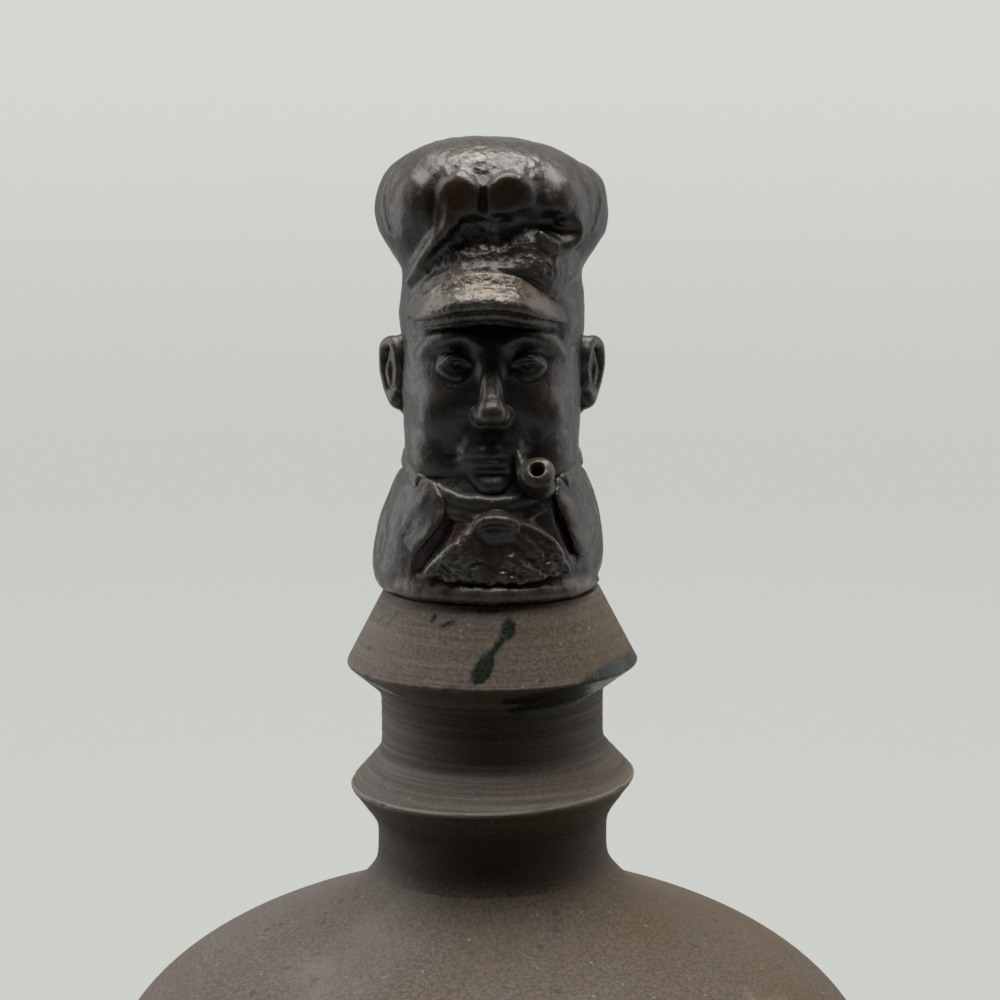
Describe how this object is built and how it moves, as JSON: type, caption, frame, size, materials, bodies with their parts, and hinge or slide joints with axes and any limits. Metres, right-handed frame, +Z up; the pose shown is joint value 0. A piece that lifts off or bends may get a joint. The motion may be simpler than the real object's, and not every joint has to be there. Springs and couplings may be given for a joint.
{
  "type": "figural liquor decanter",
  "caption": "Stoneware liquor bottle with a ringed neck and a conical lip, closed by a corked stopper shaped as a glazed bust in a peaked cap with a pipe.",
  "frame": {"origin": "centre of the foot ring, on the surface that the bottle stands on", "axes": "+Z up the bottle's axis, -Y the way the bust faces, +X to the viewer's right"},
  "size_m": [0.114, 0.114, 0.2368],
  "materials": {
    "stoneware": "matt brown-grey stoneware with fine throwing lines and pits",
    "dark_glaze": "glossy brown-black glaze with a grey metallic sheen",
    "cork": "natural cork"
  },
  "bodies": {
    "bottle": {"bottle_body": "stoneware", "bottle_neck": "stoneware"},
    "cork": {"stopper_cork": "cork"},
    "stopper": {"stopper_bust": "dark_glaze", "cap_crown": "dark_glaze", "cap_peak": "dark_glaze", "ear_left": "dark_glaze", "ear_right": "dark_glaze", "pipe": "dark_glaze", "neckerchief": "dark_glaze", "lapel_left": "dark_glaze", "lapel_right": "dark_glaze"}
  },
  "joints": [
    {"name": "stopper_lift", "type": "slide", "parent": "bottle", "child": "cork", "axis": [0, 0, 1], "range_m": [0, 0.07]},
    {"name": "stopper_twist", "type": "hinge", "parent": "cork", "child": "stopper", "pos_m": [0, 0, 0.1725], "axis": [0, 0, 1], "continuous": true}
  ]
}
